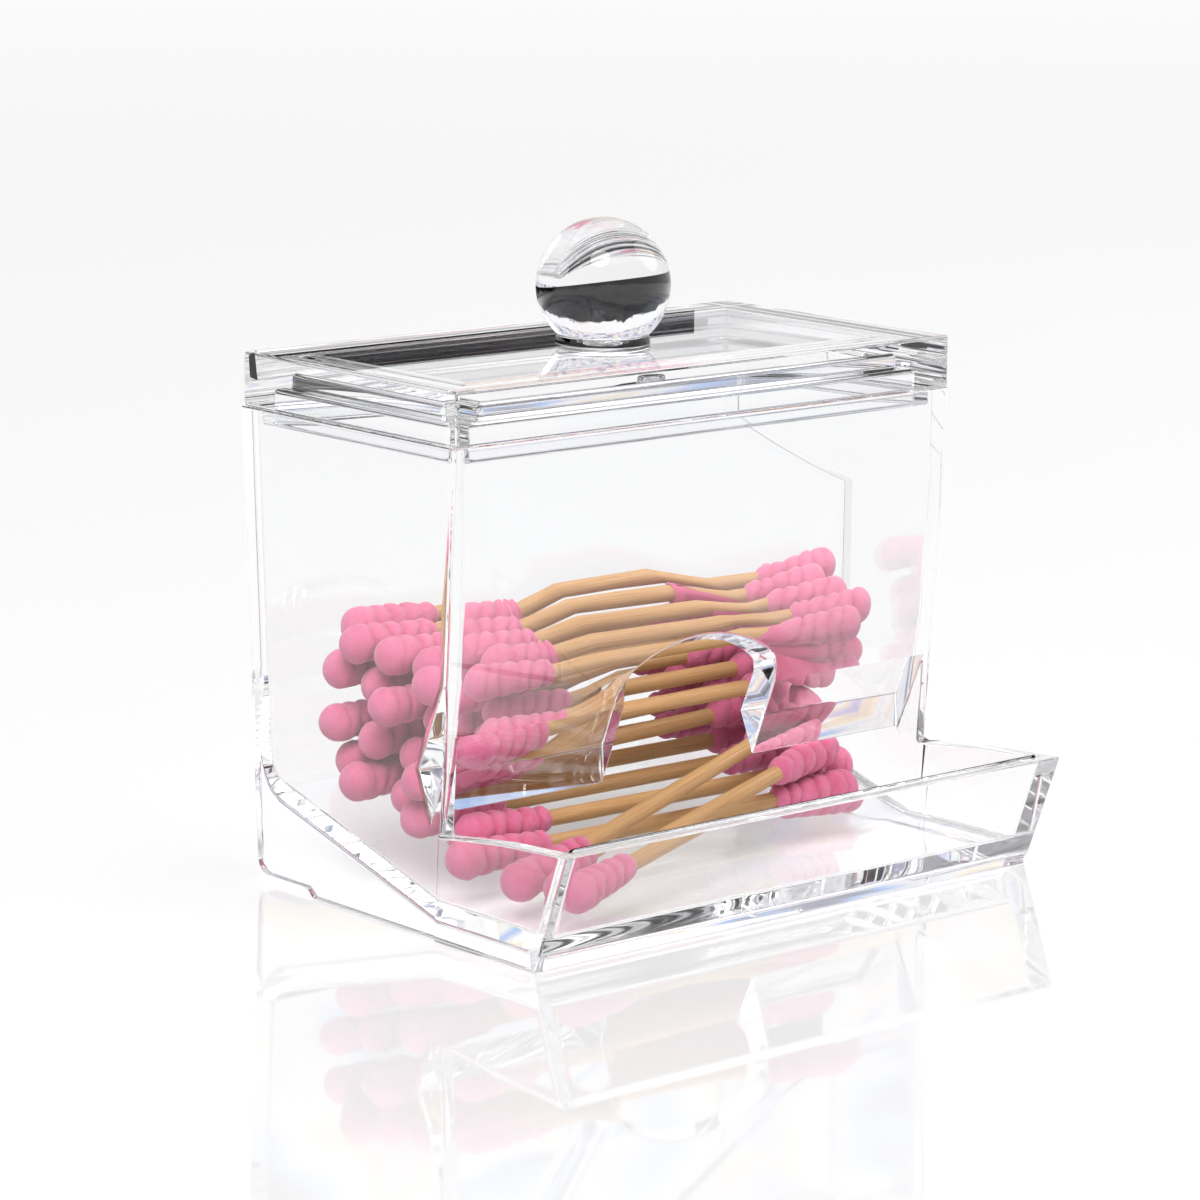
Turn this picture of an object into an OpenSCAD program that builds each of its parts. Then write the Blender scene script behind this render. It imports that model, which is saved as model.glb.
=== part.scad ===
// Clear cotton swab holder: hopper with a ramp floor, an open tray in front,
// a lift-off lid with a ball knob, and the swabs that it holds.
// X is the width, Y the depth with the tray towards -Y, Z is up.

/* [Hopper] */
// Width over the side plates
box_w = 98; // [94:1:120]
// Depth of the hopper at its rim
hopper_d = 51; // [49:1:70]
// Height of the rim above the table
body_h = 72; // [64:1:100]
// Thickness of the moulded walls
wall = 2.5; // [2:0.1:3]
// How far front and back walls lean inwards from rim to base
wall_lean = 4; // [3:0.5:5]

/* [Front lip] */
// Height of the bend where the front wall turns inwards
bend_h = 30; // [28:1:34]
// Height of the sharp lower edge of the front wall
lip_h = 17.5; // [17:0.5:20]
// How far the lower edge is set back from the bend
lip_set = 4.8; // [3:0.2:5]
// Height of the thickest part of the lip on its inner side
knee_h = 24; // [23:0.5:27]
// Thickness of the lip there
knee_t = 5; // [4:0.2:6]
// Height where the inner side starts to thicken
swell_h = 37; // [35:1:42]

/* [Finger notch] */
// Width of the notch
notch_w = 30; // [20:1:36]
// Height of the top of its arch on the outer face
notch_h = 39; // [37:0.5:42]
// Slope at which the notch cuts down through the wall
notch_slope = 62; // [55:1:70]
// Radius of the flat arch
arch_r = 30; // [26:1:60]
// Radius at the shoulders of the arch
shoulder_r = 3; // [1:0.5:4]

/* [Ramp and floor] */
// Slope of the ramp
ramp_slope = 16; // [14:1:18]
// Height of the upper face of the floor
floor_h = 5.2; // [4.8:0.1:6]
// Thickness of the ramp and the floor
floor_t = 2.6; // [2:0.1:3]
// Distance from the hopper's front wall to the foot of the ramp
ramp_inset = 4; // [2:0.5:8]
// Inner radius where the ramp meets the back wall
ramp_r = 5; // [3:0.5:8]

/* [Tray] */
// How far the tray's front edge stands in front of the hopper's rim
tray_reach = 25; // [20:1:35]
// Height of the tray's front edge
tray_h = 18.2; // [14:0.2:24]
// How far the tray's front wall leans out
tray_lean = 6.8; // [4:0.2:10]
// Height of the side plates where they meet the hopper's front edge
post_h = 15.6; // [12:0.2:17]
// How far the tray's side plates stand proud of the hopper's
tray_step = 0.4; // [0.2:0.1:1]
// Height of the long feet under the side plates
foot_h = 1.3; // [0.8:0.1:2]
// Distance from the back of the base to the end of the feet
foot_inset = 12; // [8:1:20]
// Radius of the back lower corner of the side plates
corner_r = 2.5; // [1:0.5:5]

/* [Lid] */
// How much narrower the lid is than the hopper's rim on each side
lid_inset = 0.3; // [0.1:0.1:1]
// Height of the lid above the rim
lid_h = 8.2; // [7:0.2:12]
// Thickness of the lid's thick frame
lid_frame_t = 5.1; // [4.4:0.1:6]
// Thickness of the lid's middle plate
lid_plate_t = 2.7; // [2.3:0.1:3.5]
// Width of the thick frame
lid_frame_w = 7.3; // [6:0.1:9]
// How far the locating skirt reaches below the rim
skirt_drop = 2.6; // [2:0.1:5]
// Thickness of the skirt
skirt_t = 2; // [1.5:0.1:3]
// Clearance between the skirt and the hopper's walls
skirt_gap = 0.4; // [0.3:0.05:0.8]

/* [Knob] */
// Diameter of the ball
ball_d = 20.4; // [16:0.2:26]
// Height of the knob above the lid
knob_h = 19; // [15:0.2:24]
// Diameter of the knob's foot
foot_d = 14.4; // [10:0.2:18]
// Height of the foot's straight edge
foot_edge_h = 0.7; // [0.4:0.1:1.5]
// Diameter of the spigot glued into the lid
spigot_d = 5; // [3:0.5:8]
// Depth of the spigot's socket
socket_depth = 1.6; // [1:0.1:1.9]
// Glue gap round the spigot
glue_gap = 0.05; // [0.03:0.01:0.15]

/* [Swabs] */
// Length of a swab
swab_len = 78; // [70:1:80]
// Diameter of the wooden stick
stick_d = 2.5; // [2:0.1:3]
// Largest diameter of a cotton tip
tip_d = 6; // [5:0.1:6]
// Length of a cotton tip
tip_len = 17; // [14:0.5:20]
// Number of turns of cotton that show on a tip
turns = 5; // [4:1:6]
// How much smaller each turn is than the one before it, in radius
turn_taper = 0.1; // [0:0.05:0.2]
// Thickness of the cotton over the stick in the grooves between the turns
groove_t = 0.55; // [0.4:0.05:0.8]
// Gap between the lowest swabs and the ramp
rest_gap = 0.35; // [0.3:0.05:0.5]
// Spacing of swabs that lie side by side
side_pitch = 6.3; // [6.2:0.1:7]
// Spacing of the layers
layer_pitch = 6.3; // [6.2:0.1:7]

/* [Hidden] */
$fn = 48;
rim_front = -hopper_d / 2;
rim_back = hopper_d / 2;
tray_front = rim_front - tray_reach;
base_front = tray_front + tray_lean;
base_back = rim_back - wall_lean;
tray_w = box_w + 2 * tray_step;
frame_y = -(tray_front + rim_back) / 2;
inner_w = box_w - 2 * wall;
ramp_foot_y = rim_front + wall_lean + ramp_inset - wall;

// Outer faces of the leaning walls at height z
wall_k = wall_lean / body_h;
function lean_at(z) = wall_k * (body_h - z);
function front_at(z) = rim_front + lean_at(z);
function back_at(z) = rim_back - lean_at(z);

// Upper face of the ramp at depth y
function ramp_at(y) = floor_h + (y - ramp_foot_y) * tan(ramp_slope);

// Where the back wall's inner face, moved in by a, meets the ramp's upper face, moved up by b
ramp_k = tan(ramp_slope);
wall_angle = atan(wall_k);
function wall_line(a) = base_back - wall - a / cos(wall_angle);
function ramp_line(b) = floor_h - ramp_foot_y * ramp_k + b / cos(ramp_slope);
function corner_y(a, b) = (wall_line(a) + wall_k * ramp_line(b)) / (1 - wall_k * ramp_k);
function corner(a, b) = [corner_y(a, b), ramp_line(b) + ramp_k * corner_y(a, b)];

lid_w = box_w - 2 * lid_inset;
lid_d = hopper_d - 2 * lid_inset;
lid_top = body_h + lid_h;
skirt_w = inner_w - 2 * skirt_gap;
skirt_d = hopper_d - 2 * wall - 2 * skirt_gap;

// Colours, and how far a cutter runs past the face that it opens
clear = [0.9, 0.94, 0.97, 0.35];
clear_ball = [0.93, 0.95, 0.97, 0.5];
bamboo = [0.86, 0.72, 0.5];
pink = [0.92, 0.45, 0.65];
over = 1;

ball_z = lid_top + knob_h - ball_d / 2;

// The last turn of cotton is cut short by this share of a turn
tip_r = tip_d / 2;
cut_short = 0.4;
turn_pitch = (tip_len - tip_d) / (turns - cut_short);
stick_len = swab_len - 2 * tip_r;

module in_frame() {
    translate([0, frame_y, 0]) children();
}

// Draws a profile given in depth and height, extruded over width w about the middle
module across(w) {
    translate([-w / 2, 0, 0]) rotate([90, 0, 90]) linear_extrude(w) children();
}

module side_outline() {
    polygon([
        [rim_back, body_h],
        [back_at(foot_h + corner_r), foot_h + corner_r],
        [back_at(foot_h + corner_r) - corner_r, foot_h],
        [base_back - foot_inset, foot_h],
        [base_back - foot_inset - foot_h, 0],
        [front_at(0), 0],
        [rim_front, body_h]
    ]);
    translate([back_at(foot_h + corner_r) - corner_r, foot_h + corner_r]) circle(corner_r);
}

// The rim of the tray's side plate rises in a slight bow
module tray_outline() {
    bow = (tray_h - post_h) / 6;
    polygon([
        [front_at(post_h), post_h],
        [(front_at(post_h) + tray_front) / 2, (post_h + tray_h) / 2 + bow],
        [tray_front, tray_h],
        [base_front, 0],
        [front_at(0), 0]
    ]);
}

// Strip inside the plates that joins the tray's side plate to the hopper's
module join_strip() {
    polygon([
        [front_at(0) - over, 0],
        [front_at(0) + over, 0],
        [front_at(post_h) + over, post_h - over],
        [front_at(post_h), post_h],
        [front_at(post_h) - over, post_h - over]
    ]);
}

// Front wall: upright down to the bend, then a wedge that ends in a sharp lower edge
module front_wall_profile() {
    polygon([
        [rim_front, body_h],
        [front_at(bend_h), bend_h],
        [front_at(bend_h) + lip_set, lip_h],
        [front_at(knee_h) + lip_set * (bend_h - knee_h) / (bend_h - lip_h) + knee_t, knee_h],
        [front_at(swell_h) + wall, swell_h],
        [rim_front + wall, body_h]
    ]);
}

// Wedge of the corner between the back wall and the ramp that a fillet with this centre cuts off
module corner_wedge(tip, centre, r) {
    difference() {
        polygon([
            tip,
            centre + r * [cos(wall_angle), -sin(wall_angle)],
            centre,
            centre + r * [sin(ramp_slope), -cos(ramp_slope)]
        ]);
        translate(centre) circle(r);
    }
}

module back_and_ramp_profile() {
    skin = wall * cos(wall_angle);
    outer_r = ramp_r + floor_t;
    inner = corner(0, 0);
    outer = corner(-skin, -floor_t);
    difference() {
        union() {
            polygon([
                [rim_back, body_h],
                outer,
                [ramp_foot_y, floor_h - floor_t],
                [ramp_foot_y, floor_h],
                inner,
                [rim_back - wall, body_h]
            ]);
            corner_wedge(inner, corner(ramp_r, ramp_r), ramp_r);
        }
        corner_wedge(outer + [over, -over], corner(outer_r - skin, outer_r - floor_t), outer_r);
    }
}

module floor_and_tray_front_profile() {
    slant = tray_lean / tray_h;
    skin = wall * sqrt(1 + slant * slant);
    polygon([
        [ramp_foot_y, floor_h],
        [base_front - slant * floor_h + skin, floor_h],
        [tray_front + skin, tray_h],
        [tray_front, tray_h],
        [base_front, 0],
        [base_front + skin, 0],
        [base_front + skin, floor_h - floor_t],
        [ramp_foot_y, floor_h - floor_t]
    ]);
}

// Points along an arc, without its last one
function arc(centre, r, from, to, steps) = [
    for (i = [0 : steps - 1])
        centre + r * [cos(from + i * (to - from) / steps), sin(from + i * (to - from) / steps)]
];

// The notch seen along its slope: straight sides, round shoulders and a flat arch
module notch_outline(depth) {
    half = notch_w / 2;
    shoulder_x = half - shoulder_r;
    shoulder_y = -arch_r + sqrt(pow(arch_r - shoulder_r, 2) - shoulder_x * shoulder_x);
    bend = atan((arch_r + shoulder_y) / shoulder_x);
    polygon(concat(
        [[half, -depth]],
        arc([shoulder_x, shoulder_y], shoulder_r, 0, bend, 8),
        arc([0, -arch_r], arch_r, bend, 180 - bend, 30),
        arc([-shoulder_x, shoulder_y], shoulder_r, 180 - bend, 180, 8),
        [[-half, shoulder_y], [-half, -depth]]
    ));
}

module notch_cutter() {
    depth = body_h;
    translate([0, front_at(notch_h), notch_h])
        rotate([notch_slope, 0, 0])
        translate([0, 0, -depth / 2])
        linear_extrude(depth)
        notch_outline(depth);
}

module holder_body() {
    tray_plate = wall + tray_step;
    color(clear)
    in_frame()
    union() {
        for (side = [-1, 1]) {
            translate([side * (box_w - wall) / 2, 0, 0]) across(wall) side_outline();
            translate([side * (box_w - wall) / 2, 0, 0]) across(wall) join_strip();
            translate([side * (tray_w - tray_plate) / 2, 0, 0]) across(tray_plate) tray_outline();
        }
        across(box_w - wall) back_and_ramp_profile();
        across(box_w - wall) floor_and_tray_front_profile();
        difference() {
            across(box_w - wall) front_wall_profile();
            notch_cutter();
        }
    }
}

// A box standing on height z, centred on the hopper
module centred_box(w, d, z, h) {
    translate([-w / 2, -d / 2, z]) cube([w, d, h]);
}

module lid() {
    ledge = lid_top - lid_frame_t;
    skirt_low = body_h - skirt_drop;
    pocket_w = lid_w - 2 * lid_frame_w;
    pocket_d = lid_d - 2 * lid_frame_w;
    color(clear)
    in_frame()
    difference() {
        union() {
            centred_box(lid_w, lid_d, body_h, lid_h);
            centred_box(skirt_w, skirt_d, skirt_low, skirt_drop + over);
        }
        translate([0, 0, skirt_low - over])
            centred_box(skirt_w - 2 * skirt_t, skirt_d - 2 * skirt_t, 0, ledge - skirt_low + over);
        translate([0, 0, ledge - over])
            centred_box(pocket_w, pocket_d, 0, lid_frame_t - lid_plate_t + over);
        translate([0, 0, lid_top - socket_depth])
            cylinder(d = spigot_d + 2 * glue_gap, h = socket_depth + over);
    }
}

module knob() {
    ball_r = ball_d / 2;
    foot_r = foot_d / 2;
    drop = ball_z - lid_top;
    neck_h = 2 * foot_edge_h;
    color(clear_ball)
    in_frame()
    translate([0, 0, lid_top])
    rotate_extrude($fn = 96)
    intersection() {
        union() {
            difference() {
                translate([0, drop]) circle(ball_r, $fn = 96);
                translate([-ball_r, -ball_d]) square([ball_d, ball_d]);
            }
            square([foot_r, foot_edge_h]);
            polygon([
                [0, foot_edge_h],
                [foot_r, foot_edge_h],
                [sqrt(ball_r * ball_r - pow(drop - neck_h, 2)), neck_h],
                [0, neck_h]
            ]);
            translate([0, glue_gap - socket_depth]) square([spigot_d / 2, socket_depth]);
        }
        translate([0, -socket_depth]) square([ball_r, socket_depth + knob_h]);
    }
}

// The heap: layers that follow the ramp, flatter towards the top, with their swabs fanned a little.
// Each layer: room kept in front of it, how far the rearmost swab lies in front of the rim's back
// edge, extra height, flattening, turn, fan, tilt. A layer has as many swabs as fit.
layers = [
    [8, 11.5, 0, 0, 0, 0.3, 0],
    [19, 10.9, 0, 0.02, 0.8, -0.6, 1],
    [13.5, 10.9, 0.5, 0.045, 0, -0.6, -0.4],
    [13.5, 10.7, 0.5, 0.12, -1, 0.6, 0.6]
];

// Sideways shift of each swab in turn
shifts = [1, -3, 2, -1, 3, -2, 0, 2.5, -2.5, 1.5, -1];

// Depth from which a layer's flattening counts, and the depth from one swab to the next
flat_from = rim_back - layers[0][1];
function pitch_y(l) = (side_pitch + stick_len / 2 * sin(abs(layers[l][5]))) * cos(ramp_slope);
function heap_y(l, i) = rim_back - layers[l][1] - i * pitch_y(l);
function fitting(l) = floor((heap_y(l, 0) - rim_front - layers[l][0]) / pitch_y(l)) + 1;
function heap_z(l, y) =
    ramp_at(y) + (tip_r + rest_gap + l * layer_pitch) / cos(ramp_slope)
    + layers[l][2] + layers[l][3] * (flat_from - y);

// Each swab: place of its middle, turn about the upright and rise to the right
heap = [
    for (l = [0 : len(layers) - 1])
        for (i = [0 : fitting(l) - 1])
            [
                shifts[(5 * l + i) % len(shifts)],
                heap_y(l, i),
                heap_z(l, heap_y(l, i)),
                layers[l][4] - i * layers[l][5],
                layers[l][6]
            ]
];

// The two swabs that have slid forward under the lip: height of their middle above the floor,
// and how far the upper one's middle lies behind the rim's front edge and the lower one's before it
slid_high = 9.2;
slid_low = 7;
slid_back = 5.5;
slid_front = 0.5;
slid = [
    [-3, rim_front + slid_back, floor_h + slid_high, 13.6, 9.3],
    [-2, rim_front - slid_front, floor_h + slid_low, 17, 5.2]
];

swabs = concat(heap, slid);

module place_swab(k) {
    s = swabs[k];
    in_frame()
        translate([s[0], s[1], s[2]])
        rotate([0, -s[4], s[3]])
        children();
}

module stick(k) {
    color(bamboo)
    place_swab(k)
    rotate([0, 90, 0])
    cylinder(d = stick_d, h = stick_len, center = true);
}

module tip_solid() {
    difference() {
        rotate_extrude()
        intersection() {
            union() {
                translate([0, tip_r]) circle(tip_r);
                for (i = [1 : turns - 1])
                    translate([0, tip_r + i * turn_pitch]) circle(tip_r - turn_taper * i);
                translate([0, tip_r]) square([stick_d / 2 + groove_t, tip_len - tip_r]);
            }
            square([tip_r, tip_len]);
        }
        translate([0, 0, tip_r]) cylinder(d = stick_d, h = tip_len);
    }
}

module tips(k) {
    color(pink)
    place_swab(k)
    for (side = [0, 1])
        rotate([0, 0, 180 * side])
        translate([-swab_len / 2, 0, 0])
        rotate([0, 90, 0])
        tip_solid();
}

module swab(k) {
    number = str(k < 9 ? "0" : "", k + 1);
    stick(k);
    tips(k);
}

holder_body();
lid();
knob();
for (k = [0 : len(swabs) - 1]) swab(k);
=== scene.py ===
# %% [markdown]
# # A clear cotton swab holder
# The holder is a small box of clear acrylic that feeds swabs down a ramp to an open tray.
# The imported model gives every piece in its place, so this lesson only dresses it: the clear
# mouldings get the soft edges of a mould, and each swab gets its wound cotton and its grain.

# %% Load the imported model
import bpy
import bmesh
import random
import numpy as np
from math import cos, pi, radians, sin, sqrt
from mathutils import Matrix, Vector, noise


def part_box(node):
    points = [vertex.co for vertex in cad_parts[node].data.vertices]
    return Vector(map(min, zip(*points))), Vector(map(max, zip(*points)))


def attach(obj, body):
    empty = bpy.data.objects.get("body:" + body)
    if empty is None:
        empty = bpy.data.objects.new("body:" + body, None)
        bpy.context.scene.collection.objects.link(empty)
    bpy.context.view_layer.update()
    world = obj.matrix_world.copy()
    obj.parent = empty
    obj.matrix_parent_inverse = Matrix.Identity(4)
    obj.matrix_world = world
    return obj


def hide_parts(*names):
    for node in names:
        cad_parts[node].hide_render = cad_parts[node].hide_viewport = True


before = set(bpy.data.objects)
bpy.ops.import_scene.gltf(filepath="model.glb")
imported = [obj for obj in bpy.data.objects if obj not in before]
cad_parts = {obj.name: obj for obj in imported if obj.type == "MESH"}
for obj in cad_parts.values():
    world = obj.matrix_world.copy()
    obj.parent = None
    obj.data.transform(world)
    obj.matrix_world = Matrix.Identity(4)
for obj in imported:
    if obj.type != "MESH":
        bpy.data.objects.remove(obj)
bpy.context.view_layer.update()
mm = 0.001

# %% [markdown]
# ## The camera
# The photograph looks at the tray's corner from a little above, with a long lens: upright edges
# stay nearly parallel. Azimuth, elevation and distance are set first, and the camera's three axes
# follow from them, so that its small roll can be turned in as well.

# %% Camera
view_azimuth = radians(40.9)
view_elevation = radians(11.3)
view_roll = radians(0.6)
view_distance = 0.688
view_target = Vector((0, 0.0125, 0.0406))
view_lens = 135.3


def add_camera():
    forward = Vector((
        sin(view_azimuth) * cos(view_elevation),
        cos(view_azimuth) * cos(view_elevation),
        -sin(view_elevation),
    ))
    level = Vector((cos(view_azimuth), -sin(view_azimuth), 0))
    upright = level.cross(forward)
    right = level * cos(view_roll) + upright * sin(view_roll)
    up = upright * cos(view_roll) - level * sin(view_roll)
    data = bpy.data.cameras.new("camera")
    data.sensor_width = 36
    data.lens = view_lens
    data.clip_start = 0.01
    camera = bpy.data.objects.new("camera", data)
    bpy.context.scene.collection.objects.link(camera)
    turn = Matrix((right, up, -forward)).transposed().to_4x4()
    camera.matrix_world = Matrix.Translation(view_target - view_distance * forward) @ turn
    bpy.context.scene.camera = camera
    return camera


camera = add_camera()
print("camera at", [round(v, 3) for v in camera.matrix_world.translation])

# %% [markdown]
# ## Finishes as sums
# A node tree is easier to read as a sum than as a list of links. A small class wraps a socket, so
# that two sockets can be added or multiplied, and one method adds any other node.

# %% Shader helpers


def paint(red, green, blue):
    """A colour as a screen shows it, from 0 to 255, as the light that a shader wants."""
    shares = [c / 255 for c in (red, green, blue)]
    light = [s / 12.92 if s <= 0.04045 else ((s + 0.055) / 1.055) ** 2.4 for s in shares]
    return (*light, 1)


class Wire:
    """An output socket that can stand in a sum."""

    def __init__(self, finish, socket):
        self.finish = finish
        self.socket = socket

    def sum(self, operation, first, second):
        return self.finish.add("ShaderNodeMath", {"operation": operation}, {0: first, 1: second})

    def __add__(self, other):
        return self.sum("ADD", self, other)

    def __radd__(self, other):
        return self.sum("ADD", other, self)

    def __sub__(self, other):
        return self.sum("SUBTRACT", self, other)

    def __rsub__(self, other):
        return self.sum("SUBTRACT", other, self)

    def __mul__(self, other):
        return self.sum("MULTIPLY", self, other)

    def __rmul__(self, other):
        return self.sum("MULTIPLY", other, self)

    def __pow__(self, other):
        return self.sum("POWER", self, other)


class Finish:
    """A material whose nodes are added one by one."""

    def __init__(self, name):
        self.material = bpy.data.materials.new(name)
        self.material.use_nodes = True
        self.tree = self.material.node_tree
        self.tree.nodes.clear()
        self.material.cycles.emission_sampling = "NONE"

    def add(self, kind, settings=None, sockets=None, out=0):
        node = self.tree.nodes.new(kind)
        for key, value in (settings or {}).items():
            if key == "stops":
                ramp = node.color_ramp.elements
                while len(ramp) < len(value):
                    ramp.new(0.5)
                for stop, (place, colour) in zip(ramp, value):
                    stop.position = place
                    stop.color = colour
            else:
                setattr(node, key, value)
        for key, value in (sockets or {}).items():
            if isinstance(value, Wire):
                self.tree.links.new(value.socket, node.inputs[key])
            else:
                node.inputs[key].default_value = value
        return Wire(self, node.outputs[out])

    def mix(self, share, first, second):
        """A colour between two colours."""
        return self.add("ShaderNodeMix", {"data_type": "RGBA"}, {0: share, 6: first, 7: second}, 2)

    def noise(self, place, scale, detail=2, roughness=0.5):
        sockets = {"Vector": place, "Scale": scale, "Detail": detail, "Roughness": roughness}
        return self.add("ShaderNodeTexNoise", None, sockets)

    def bump(self, height, strength, distance):
        sockets = {"Height": height, "Strength": strength, "Distance": distance}
        return self.add("ShaderNodeBump", None, sockets)

    def stretched(self, place, scale):
        return self.add("ShaderNodeMapping", None, {"Vector": place, "Scale": scale})

    def show(self, shader):
        self.add_output(shader)
        return self.material

    def add_output(self, shader):
        output = self.tree.nodes.new("ShaderNodeOutputMaterial")
        self.tree.links.new(shader.socket, output.inputs["Surface"])


camera_ray, shadow_ray, glossy_ray, transmission_ray = 0, 1, 3, 6
print("helpers ready")

# %% [markdown]
# ## Clear acrylic
# Clear plastic has hardly a colour of its own: what shows are its edges, which bend and mirror the
# light. So it is a plain refracting shader with acrylic's index, a trace of unevenness from the
# mould and a few finger-soft patches in its gloss. Rays from lamps pass straight through, which
# stands for the light that real plastic lets in.

# %% Clear acrylic finish
acrylic_index = 1.49
ripple_scale = 60
smear_scale = 25


def clear_acrylic(name, tint, lamp_share):
    finish = Finish(name)
    place = finish.add("ShaderNodeTexCoord", out=3)
    ripple = finish.noise(place, ripple_scale, 1)
    smear = finish.noise(place, smear_scale, 2, 0.6)
    gloss = 0.004 + 0.02 * smear ** 2
    body = finish.add("ShaderNodeBsdfPrincipled", None, {
        "Base Color": finish.mix(smear, tint, (0.99, 0.995, 1, 1)),
        "Roughness": gloss,
        "IOR": acrylic_index,
        "Transmission Weight": 1,
        "Normal": finish.bump(ripple, 0.01, 0.0002),
    })
    lamps = finish.add("ShaderNodeBsdfTransparent", None, {"Color": (lamp_share,) * 3 + (1,)})
    from_lamp = finish.add("ShaderNodeLightPath", out=shadow_ray)
    return finish.show(finish.add("ShaderNodeMixShader", None, {0: from_lamp, 1: body, 2: lamps}))


box_plastic = clear_acrylic("clear_box_acrylic", (0.985, 0.985, 0.99, 1), 0.975)
knob_plastic = clear_acrylic("clear_knob_acrylic", (0.97, 0.97, 0.98, 1), 0.92)
print("clear finishes", box_plastic.name, knob_plastic.name)

# %% [markdown]
# ## The mouldings
# The holder and its lid come out of a mould with slightly round edges and small fillets inside
# their corners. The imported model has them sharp, so each clear piece is a copy of its node: the
# loose triangles are merged, flat areas become single faces, and bevels round first the inner
# corners and then the outer edges. The flat faces keep their own normals, or they would lens.

# %% Round the edges of a clear piece
weld = 0.002 * mm
step = 0.2 * mm
sharp_from = radians(20)


def round_edges(form, picked, width, segments):
    bmesh.ops.bevel(
        form, geom=picked, offset=width, offset_type="OFFSET", affect="EDGES", segments=segments,
        profile=0.5, material=-1, clamp_overlap=False, loop_slide=True,
    )


def sharp_edges(form, convex):
    return [
        e for e in form.edges
        if len(e.link_faces) == 2 and e.calc_face_angle(0) > sharp_from and e.is_convex == convex
    ]


def moulded(node, inner, outer, finish, body):
    """A clear piece that stands for a node, with rounded inner corners and outer edges."""
    form = bmesh.new()
    form.from_mesh(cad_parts[node].data)
    bmesh.ops.remove_doubles(form, verts=form.verts, dist=weld)
    bmesh.ops.dissolve_limit(
        form, angle_limit=radians(0.4), verts=form.verts, edges=form.edges, delimit={"NORMAL"},
    )
    bmesh.ops.remove_doubles(form, verts=form.verts, dist=step)
    before = form.calc_volume()
    round_edges(form, sharp_edges(form, False), inner, 3)
    round_edges(form, sharp_edges(form, True), outer, 3)
    bmesh.ops.remove_doubles(form, verts=form.verts, dist=weld)
    mesh = bpy.data.meshes.new(f"clear_{node}")
    form.to_mesh(mesh)
    open_edges = sum(len(e.link_faces) != 2 for e in form.edges)
    print(node, "faces", len(form.faces), "open edges", open_edges,
          "volume", round(form.calc_volume() / before, 4))
    form.free()
    mesh.shade_smooth()
    mesh.materials.append(finish)
    piece = bpy.data.objects.new(f"clear_{node}", mesh)
    bpy.context.scene.collection.objects.link(piece)
    weighted = piece.modifiers.new("flat faces keep their normals", "WEIGHTED_NORMAL")
    weighted.mode = "FACE_AREA"
    weighted.weight = 100
    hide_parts(node)
    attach(piece, body)
    return piece


holder = moulded("holder_body", 0.8 * mm, 0.35 * mm, box_plastic, "holder")
lid = moulded("lid", 0.9 * mm, 0.6 * mm, box_plastic, "lid")
knob = moulded("knob", 0.2 * mm, 0.15 * mm, knob_plastic, "lid")

# %% [markdown]
# ## Where each swab lies
# A swab's stick is a straight rod, so the points of its node say where it lies: their middle is
# the swab's middle, and the direction in which they spread most is its axis. Everything that is
# modelled along X can then be turned onto that axis.

# %% Find the swabs
tip_length = 17 * mm
tip_radius = 3 * mm
stick_radius = 1.25 * mm
swab_names = sorted(n[len("stick_"):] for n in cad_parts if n.startswith("stick_"))


def swab_place(number):
    """The turn and place that put a swab modelled along X where its stick lies."""
    points = np.array([v.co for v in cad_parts[f"stick_{number}"].data.vertices])
    middle = (points.min(0) + points.max(0)) / 2
    axis = np.linalg.svd(points - points.mean(0), full_matrices=False)[2][0]
    if axis[0] < 0:
        axis = -axis
    along = Vector(axis)
    across = Vector((0, 0, 1)).cross(along).normalized()
    turn = Matrix((along, across, along.cross(across))).transposed().to_4x4()
    length = float(np.ptp(points @ axis))
    return Matrix.Translation(Vector(middle)) @ turn, length


places = {number: swab_place(number) for number in swab_names}
stick_length = places[swab_names[0]][1]
swab_length = stick_length + 2 * tip_radius
print("swabs", len(places), "swab length in mm", round(swab_length / mm, 2))

# %% [markdown]
# ## Pink cotton
# The cotton is dyed pink and wound in a spiral. The grooves between its turns get painted shade, a
# deeper crimson than the crests, where the loose fibres scatter light. A point attribute written by
# the winding says how deep each point lies, which sets the painted shade, and fine stretched noise
# gives the fibres.

# %% Cotton finish
fibre_scale = 2600
tuft_scale = 420
patch_scale = 90


def dyed_cotton():
    finish = Finish("pink_cotton")
    place = finish.add("ShaderNodeTexCoord", out=3)
    depth = finish.add("ShaderNodeAttribute", {"attribute_name": "groove"}, out=2)
    fibres = finish.noise(place, fibre_scale, 5, 0.7)
    tufts = finish.noise(place, tuft_scale, 3, 0.6)
    patches = finish.noise(place, patch_scale, 2)
    crest = finish.mix(patches, paint(216, 78, 128), paint(236, 112, 156))
    # painted shade: the deeper a point lies in a groove, the more its pink is mixed towards deep
    # crimson
    groove_painted_shade = finish.mix(0.8 * depth, crest, paint(196, 32, 82))
    colour = finish.mix(tufts * fibres * 0.9, groove_painted_shade, paint(248, 172, 198))
    height = fibres * 0.5 + tufts
    return finish.show(finish.add("ShaderNodeBsdfPrincipled", None, {
        "Base Color": colour,
        "Roughness": 0.94,
        "Sheen Weight": 0.35,
        "Sheen Roughness": 0.5,
        "Normal": finish.bump(height, 0.6, 0.0003),
    }))


cotton = dyed_cotton()
print("cotton finish", cotton.name)

# %% [markdown]
# ## A wound tip
# The tip starts as a body of revolution: a profile with a round end that narrows to the stick is
# spun about the swab's axis. Then every point moves in towards the axis, less on the crests of a
# helix and more between them, so one rope of cotton seems to be wound round the stick. Slow noise
# shifts the winding and swells the rope, because no two turns of real cotton are alike.

# %% Wind the cotton
winding_pitch = 2.9 * mm
groove_depth = 0.46 * mm
tip_taper = 0.3
closing = 1.6 * mm
slow_noise = 3 * mm
fine_noise = 0.5 * mm
groove_starts = 2 * mm
groove_grows = 2.4 * mm
groove_fades = 2.5 * mm
ring_steps = 40
profile_steps = 72


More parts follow.
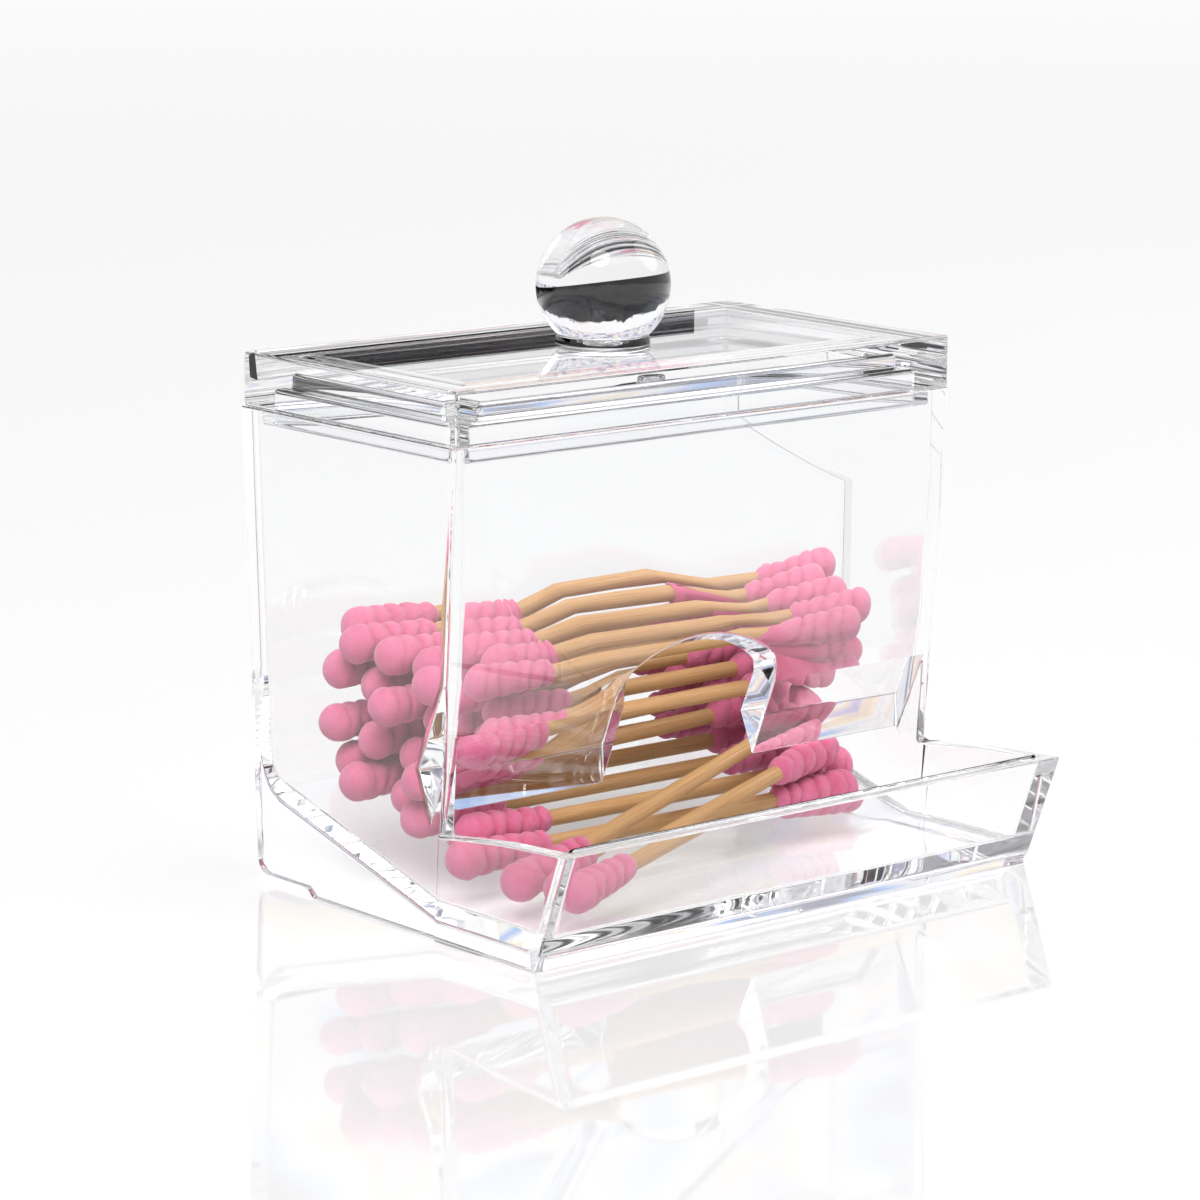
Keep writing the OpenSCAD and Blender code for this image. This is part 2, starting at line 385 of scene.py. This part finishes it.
def outline(along):
    """The radius of the tip's envelope at a distance from its round end."""
    if along < tip_radius:
        return sqrt(max(tip_radius ** 2 - (tip_radius - along) ** 2, 0))
    slim = (along - tip_radius) / (tip_length - tip_radius)
    full = tip_radius * (1 - tip_taper * slim)
    end = max(0, (along - (tip_length - closing)) / closing)
    return full - (full - stick_radius * 0.98) * end ** 2


def wound_tip(seed):
    """One tip from its round end at X = 0 along +X, with its groove depths."""
    dice = random.Random(seed)
    start = dice.uniform(0, 2 * pi)
    uneven = Vector((dice.uniform(0, 50), dice.uniform(0, 50), dice.uniform(0, 50)))
    form = bmesh.new()
    chain = []
    for i in range(profile_steps + 1):
        share = i / profile_steps
        along = tip_length * (share - 0.5 * sin(pi * share) / pi * (1 - share))
        chain.append(form.verts.new((along, 0, outline(along))))
    for low, high in zip(chain, chain[1:]):
        form.edges.new((low, high))
    bmesh.ops.spin(
        form, geom=form.verts[:] + form.edges[:], cent=(0, 0, 0), axis=(1, 0, 0),
        angle=2 * pi, steps=ring_steps, use_merge=True,
    )
    bmesh.ops.remove_doubles(form, verts=form.verts, dist=weld)
    depth = form.verts.layers.float.new("groove")
    for point in form.verts:
        radius = sqrt(point.co.y ** 2 + point.co.z ** 2)
        if radius < weld:
            continue
        angle = np.arctan2(point.co.z, point.co.y)
        waver = noise.noise(point.co / slow_noise + uneven)
        wound = point.co.x / winding_pitch + angle / (2 * pi) + start + 0.34 * waver
        wound = wound % 1 - 0.5
        dip = groove_depth * (2 * abs(wound)) ** 2.4 * (1 + 0.7 * waver)
        fade = min(1, max(0, (point.co.x - groove_starts) / groove_grows))
        fade *= min(1, max(0, (tip_length - point.co.x) / groove_fades))
        fluff = 0.06 * mm * noise.noise(point.co / fine_noise + uneven) + 0.2 * mm * waver
        scale = (radius - dip * fade + fluff) / radius
        point.co.y *= scale
        point.co.z *= scale
        # the groove depth, which the cotton finish turns into painted shade
        point[depth] = min(1, fade * dip / groove_depth)
    bmesh.ops.recalc_face_normals(form, faces=form.faces)
    mesh = bpy.data.meshes.new("wound_tip")
    form.to_mesh(mesh)
    form.free()
    return mesh


tip_kinds = [wound_tip(seed) for seed in range(6)]
print("tip kinds", len(tip_kinds), "faces each", len(tip_kinds[0].polygons))

# %% [markdown]
# ## Tips on their swabs
# Every swab has two tips, which face away from each other. A few windings are enough for all of
# them, because each is turned about its own axis by a different amount.

# %% Place the tips


def dressed_tips(number, place, dice):
    form = bmesh.new()
    for side in (0, 1):
        mesh = dice.choice(tip_kinds).copy()
        turn = Matrix.Rotation(dice.uniform(0, 2 * pi), 4, "X")
        shift = Matrix.Translation((-swab_length / 2, 0, 0))
        mesh.transform(place @ Matrix.Rotation(pi * side, 4, "Z") @ shift @ turn)
        form.from_mesh(mesh)
        bpy.data.meshes.remove(mesh)
    whole = bpy.data.meshes.new(f"cotton_{number}")
    form.to_mesh(whole)
    form.free()
    whole.shade_smooth()
    whole.materials.append(cotton)
    piece = bpy.data.objects.new(f"cotton_{number}", whole)
    bpy.context.scene.collection.objects.link(piece)
    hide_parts(f"tips_{number}")
    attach(piece, "holder")
    return piece


swab_dice = random.Random(22)
cotton_pieces = [dressed_tips(number, places[number][0], swab_dice) for number in swab_names]
print("cotton pieces", len(cotton_pieces))

# %% [markdown]
# ## Bamboo sticks
# The sticks are split bamboo, turned round: pale, with fine dark fibres that run from end to end.
# The grain has to follow each stick, so it reads a UV map that unrolls the rod, with its length
# along V. The rod itself is a little uneven, as cheap sticks are.

# %% Bamboo finish


def split_bamboo():
    finish = Finish("pale_bamboo")
    unrolled = finish.add("ShaderNodeTexCoord", out=2)
    grain = finish.noise(finish.stretched(unrolled, (60, 2.2, 1)), 1, 5, 0.65)
    fibres = finish.noise(finish.stretched(unrolled, (220, 5, 1)), 1, 3, 0.6)
    patches = finish.noise(finish.stretched(unrolled, (3, 4, 1)), 1, 2)
    pale = finish.mix(patches, paint(250, 222, 176), paint(236, 194, 136))
    streaked = finish.mix(grain ** 2 * 2, pale, paint(214, 152, 84))
    colour = finish.mix(fibres ** 3 * 2.4, streaked, paint(150, 90, 40))
    return finish.show(finish.add("ShaderNodeBsdfPrincipled", None, {
        "Base Color": colour,
        "Roughness": 0.5 + 0.25 * grain,
        "Normal": finish.bump(fibres + grain * 0.6, 0.35, 0.0001),
    }))


bamboo = split_bamboo()
print("bamboo finish", bamboo.name)

# %% Turn the sticks
stick_sides = 24
stick_rings = 26


def dressed_stick(number, place, dice):
    form = bmesh.new()
    bmesh.ops.create_circle(form, cap_ends=False, segments=stick_sides, radius=stick_radius)
    bmesh.ops.rotate(form, verts=form.verts, cent=(0, 0, 0), matrix=Matrix.Rotation(pi / 2, 3, "Y"))
    bmesh.ops.translate(form, verts=form.verts, vec=(-stick_length / 2, 0, 0))
    rim = form.edges[:]
    for _ in range(stick_rings):
        made = bmesh.ops.extrude_edge_only(form, edges=rim)["geom"]
        rim = [g for g in made if isinstance(g, bmesh.types.BMEdge)]
        tips = [g for g in made if isinstance(g, bmesh.types.BMVert)]
        bmesh.ops.translate(form, verts=tips, vec=(stick_length / stick_rings, 0, 0))
        rim = [e for e in rim if all(v in tips for v in e.verts)]
    bmesh.ops.holes_fill(form, edges=form.edges[:], sides=stick_sides)
    shift = dice.uniform(0, 40)
    for point in form.verts:
        swell = 1 + 0.03 * noise.noise(Vector((point.co.x / (9 * mm) + shift, 0, shift)))
        point.co.y *= swell
        point.co.z *= swell
    unroll = form.loops.layers.uv.new("unrolled")
    for face in form.faces:
        centre = face.calc_center_median()
        middle = np.arctan2(centre.z, centre.y)
        for corner in face.loops:
            angle = np.arctan2(corner.vert.co.z, corner.vert.co.y)
            angle = middle + (angle - middle + pi) % (2 * pi) - pi
            corner[unroll].uv = (angle / (2 * pi) + shift, corner.vert.co.x / stick_length + shift)
    bmesh.ops.recalc_face_normals(form, faces=form.faces)
    mesh = bpy.data.meshes.new(f"bamboo_{number}")
    form.to_mesh(mesh)
    form.free()
    mesh.shade_smooth()
    mesh.transform(place)
    mesh.materials.append(bamboo)
    piece = bpy.data.objects.new(f"bamboo_{number}", mesh)
    bpy.context.scene.collection.objects.link(piece)
    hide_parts(f"stick_{number}")
    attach(piece, "holder")
    return piece


stick_dice = random.Random(7)
sticks = [dressed_stick(number, places[number][0], stick_dice) for number in swab_names]
print("sticks", len(sticks))

# %% [markdown]
# ## Studio
# Clear plastic on white shows only where something darker than white surrounds it. A plain pale
# floor and an even white world give the background and soft lamps model the swabs. The plastic's
# edges get painted reflections from black cards and a faintly tinted wall round the set, which only
# bent light meets.

# %% Floor
floor_size = 8
floor_lift = 0.12


def add_floor():
    """A glossy white sheet, a little brighter where the camera or the plastic sees it."""
    finish = Finish("pale_floor")
    seen = finish.add("ShaderNodeLightPath", out=camera_ray)
    for kind in (glossy_ray, transmission_ray):
        other = finish.add("ShaderNodeLightPath", out=kind)
        seen = finish.add("ShaderNodeMath", {"operation": "MAXIMUM"}, {0: seen, 1: other})
    surface = finish.add("ShaderNodeBsdfPrincipled", None, {
        "Base Color": (0.9, 0.9, 0.9, 1),
        "Roughness": 0.03,
        "Emission Color": (1, 1, 1, 1),
        "Emission Strength": seen * floor_lift,
    })
    form = bmesh.new()
    bmesh.ops.create_grid(form, x_segments=1, y_segments=1, size=floor_size / 2)
    mesh = bpy.data.meshes.new("floor")
    form.to_mesh(mesh)
    form.free()
    mesh.materials.append(finish.show(surface))
    piece = bpy.data.objects.new("floor", mesh)
    bpy.context.scene.collection.objects.link(piece)
    return piece


floor = add_floor()

# %% Rings round the set
# rings of painted reflection: a torn dark band for the knob, a dark band at the horizon and a tinted
# wall
knob_painted_reflection = {"radius": 0.061, "low": 0.0825, "high": 0.107, "tilt": radians(-6)}
horizon_painted_reflection = {"radius": 1, "low": 0.135, "high": 0.2}
painted_reflection_wall = {"radius": 1.1, "low": 0, "high": 1.3}


def painted_reflection_sheet(name, form, finish, mirrored=False):
    """A sheet for painted reflections, which only bent light meets, or only mirrored light, and
    never the camera.
    """
    mesh = bpy.data.meshes.new(name)
    form.to_mesh(mesh)
    form.free()
    mesh.materials.append(finish)
    piece = bpy.data.objects.new(name, mesh)
    bpy.context.scene.collection.objects.link(piece)
    piece.visible_camera = False
    piece.visible_diffuse = False
    piece.visible_glossy = mirrored
    piece.visible_transmission = not mirrored
    piece.visible_shadow = False
    return piece


def add_ring(name, finish, radius, low, high, tilt=0):
    """An open ring for painted reflections, tilted as the camera sees it, whose points know how high
    up it they are.
    """
    form = bmesh.new()
    bmesh.ops.create_cone(
        form, cap_ends=False, segments=96, radius1=radius, radius2=radius, depth=high - low,
    )
    height = form.verts.layers.float.new("height")
    for point in form.verts:
        point[height] = float(point.co.z > 0)
    facing = Vector((sin(view_azimuth), cos(view_azimuth), 0))
    turn = Matrix.Rotation(tilt, 3, facing)
    bmesh.ops.rotate(form, verts=form.verts, cent=(0, 0, 0), matrix=turn)
    bmesh.ops.translate(form, verts=form.verts, vec=(0, 0, (low + high) / 2))
    return painted_reflection_sheet(name, form, finish)


# painted reflection: a black sheet for the dark lines in the plastic's edges
def black_painted_reflection():
    finish = Finish("black_painted_reflection")
    return finish.show(finish.add("ShaderNodeEmission", None, {"Color": (0.01, 0.01, 0.012, 1)}))


def torn_painted_reflection():
    """A painted reflection for the knob: black below and white above, with a torn, speckled edge
    between them.
    """
    finish = Finish("torn_painted_reflection")
    place = finish.add("ShaderNodeTexCoord", out=3)
    height = finish.add("ShaderNodeAttribute", {"attribute_name": "height"}, out=2)
    torn = height + 0.55 * finish.noise(place, 90, 6, 0.75)
    colour = finish.add("ShaderNodeValToRGB", {"stops": [
        (0.955, (0.006, 0.006, 0.007, 1)),
        (0.98, (1, 1, 1, 1)),
    ]}, {"Fac": torn})
    return finish.show(finish.add("ShaderNodeEmission", None, {"Color": colour}))


def painted_reflection_tints():
    """A painted reflection: white, with soft patches of grey, blue, amber and lilac for painted
    colour in the edges.
    """
    finish = Finish("painted_reflection_tints")
    place = finish.add("ShaderNodeTexCoord", out=3)
    patches = finish.noise(finish.stretched(place, (1, 1, 1.6)), 9, 2)
    colour = finish.add("ShaderNodeValToRGB", {"stops": [
        (0.3, (0.12, 0.12, 0.15, 1)),
        (0.4, (0.42, 0.42, 0.5, 1)),
        (0.44, (0.45, 0.62, 0.95, 1)),
        (0.48, (0.85, 0.85, 0.9, 1)),
        (0.53, (1, 1, 1, 1)),
        (0.57, (1, 0.84, 0.62, 1)),
        (0.61, (0.76, 0.7, 0.9, 1)),
        (0.72, (0.4, 0.4, 0.46, 1)),
    ]}, {"Fac": patches})
    return finish.show(finish.add("ShaderNodeEmission", None, {"Color": colour}))


black = black_painted_reflection()
rings = [
    add_ring("knob_painted_reflection", torn_painted_reflection(), **knob_painted_reflection),
    add_ring("horizon_painted_reflection", black, **horizon_painted_reflection),
    add_ring("painted_reflection_wall", painted_reflection_tints(), **painted_reflection_wall),
]
print("rings", [r.name for r in rings])

# %% [markdown]
# ## Painted reflections behind the lid
# Two narrow black strips stand close behind the lid as painted reflections. Light that bends through
# the lid's back rim meets the lower one, and light that the lid's top mirrors meets the upper one,
# so the back wall of the pocket shows as a dark strip, as it does in the photograph.

# %% Cards behind the lid
card_behind = 0.003
card_half = 0.044
bent_painted_reflection = {"low": 0.0734, "high": 0.0764}
mirrored_painted_reflection = {"low": 0.0818, "high": 0.0856}


def add_card(name, low, high, mirrored):
    """A black strip close behind the lid, a painted reflection for the back wall of its pocket and
    the gloss over it.
    """
    form = bmesh.new()
    bmesh.ops.create_grid(form, x_segments=1, y_segments=1, size=0.5)
    bmesh.ops.rotate(form, verts=form.verts, cent=(0, 0, 0), matrix=Matrix.Rotation(pi / 2, 3, "X"))
    bmesh.ops.scale(form, verts=form.verts, vec=(2 * card_half, 1, high - low))
    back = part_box("lid")[1][1]
    bmesh.ops.translate(form, verts=form.verts, vec=(0, back + card_behind, (low + high) / 2))
    return painted_reflection_sheet(name, form, black, mirrored)


cards = [
    add_card("bent_painted_reflection", mirrored=False, **bent_painted_reflection),
    add_card("mirrored_painted_reflection", mirrored=True, **mirrored_painted_reflection),
]
print("cards", [c.name for c in cards])

# %% [markdown]
# ## Light
# The world is full white where the camera or the plastic sees it, and dimmer where it only lights
# dull surfaces. Two soft lamps give the swabs their form.

# %% World and lamps
world_light = 0.5


def add_world():
    """A white world: full white where it is seen, a little less where it only lights things."""
    world = bpy.data.worlds.new("studio")
    world.use_nodes = True
    tree = world.node_tree
    tree.nodes.clear()
    path = tree.nodes.new("ShaderNodeLightPath")
    seen = path.outputs["Is Camera Ray"]
    for name in ("Is Glossy Ray", "Is Transmission Ray"):
        either = tree.nodes.new("ShaderNodeMath")
        either.operation = "MAXIMUM"
        tree.links.new(seen, either.inputs[0])
        tree.links.new(path.outputs[name], either.inputs[1])
        seen = either.outputs[0]
    level = tree.nodes.new("ShaderNodeMapRange")
    level.inputs["To Min"].default_value = world_light
    tree.links.new(seen, level.inputs["Value"])
    shine = tree.nodes.new("ShaderNodeBackground")
    shine.inputs["Color"].default_value = (1, 1, 1, 1)
    tree.links.new(level.outputs[0], shine.inputs["Strength"])
    output = tree.nodes.new("ShaderNodeOutputWorld")
    tree.links.new(shine.outputs[0], output.inputs["Surface"])
    bpy.context.scene.world = world


def add_lamp(name, place, size, power):
    data = bpy.data.lights.new(name, "AREA")
    data.shape = "DISK"
    data.size = size
    data.energy = power
    lamp = bpy.data.objects.new(name, data)
    bpy.context.scene.collection.objects.link(lamp)
    aim = view_target - Vector(place)
    lamp.matrix_world = Matrix.Translation(place) @ aim.to_track_quat("-Z", "Y").to_matrix().to_4x4()
    return lamp


add_world()
key_lamp = add_lamp("key_lamp", (-0.6, -0.5, 1.1), 0.7, 8)
fill_lamp = add_lamp("fill_lamp", (0.9, -0.4, 0.7), 0.8, 3)
bpy.context.scene.view_settings.view_transform = "Standard"
print("lamps", key_lamp.name, fill_lamp.name)

# %% [markdown]
# ## Light paths
# Light runs along a plate of plastic as along a pipe and turns back and forth many times before
# it leaves. Too few turns would leave the edges black, so bent and mirrored light may take more
# of them than usual, and dull surfaces make do with fewer.

# %% Light paths
clear_turns = 32
dull_turns = 2
shadow_layers = 6
paths = bpy.context.scene.cycles
paths.max_bounces = clear_turns
paths.glossy_bounces = clear_turns
paths.transmission_bounces = clear_turns
paths.diffuse_bounces = dull_turns
paths.transparent_max_bounces = shadow_layers
print("turns of light in the plastic", paths.max_bounces)
